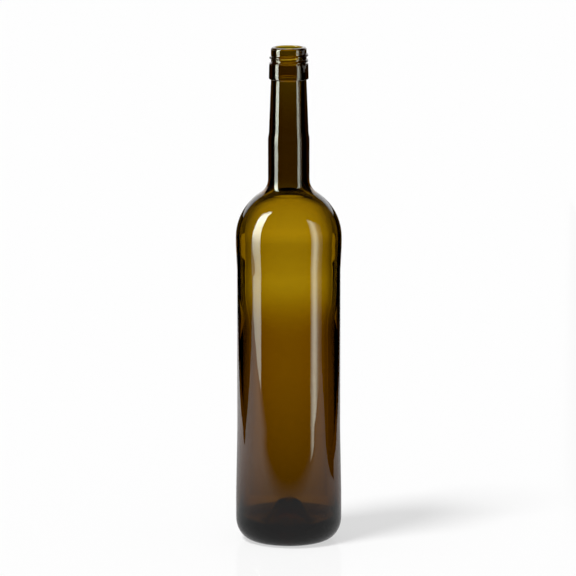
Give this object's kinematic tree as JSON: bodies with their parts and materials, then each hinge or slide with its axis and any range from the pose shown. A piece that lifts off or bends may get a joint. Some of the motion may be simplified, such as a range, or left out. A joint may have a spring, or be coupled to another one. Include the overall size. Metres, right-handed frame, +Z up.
{
  "type": "bordeaux wine bottle",
  "caption": "Empty straight-sided wine bottle of antique green glass with a round shoulder, stepped neck, thread and bead for a long screw cap, a recessed label panel and a punted base.",
  "frame": {"origin": "centre of the plane that the bearing ring stands on, on the axis of the bottle", "axes": "+Z up along the axis, from the base to the mouth; the thread's start lies 60 degrees round from +X towards +Y"},
  "size_m": [0.0734, 0.0734, 0.345],
  "materials": {
    "glass": "antique green (olive amber) soda-lime container glass, blown, fire-polished, clear and glossy"
  },
  "bodies": {
    "root": {"bottle": "glass"}
  },
  "joints": []
}
